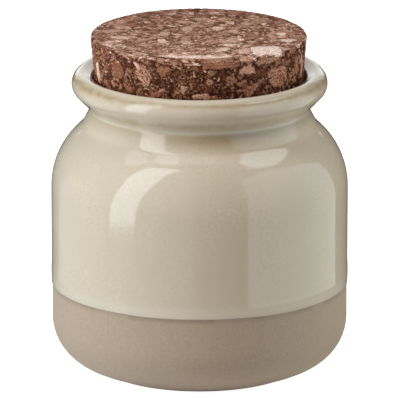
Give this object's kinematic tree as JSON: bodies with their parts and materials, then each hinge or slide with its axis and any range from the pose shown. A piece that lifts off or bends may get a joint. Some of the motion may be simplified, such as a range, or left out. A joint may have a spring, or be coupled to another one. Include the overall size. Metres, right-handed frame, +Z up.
{
  "type": "stoneware jar with cork lid",
  "caption": "Wide-mouthed stoneware storage jar with a glazed body over a bare clay base, a rolled lip and a tapered cork stopper.",
  "frame": {"origin": "centre of the foot, on the surface that the jar stands on", "axes": "+Z up along the axis that the jar and the stopper are turned about"},
  "size_m": [0.11, 0.11, 0.1265],
  "materials": {
    "stoneware": "glossy cream-beige glaze above a matt bare clay band",
    "cork": "dark pressed cork granules, matt and rough"
  },
  "bodies": {
    "root": {"jar": "stoneware", "cork_lid": "cork"}
  },
  "joints": []
}
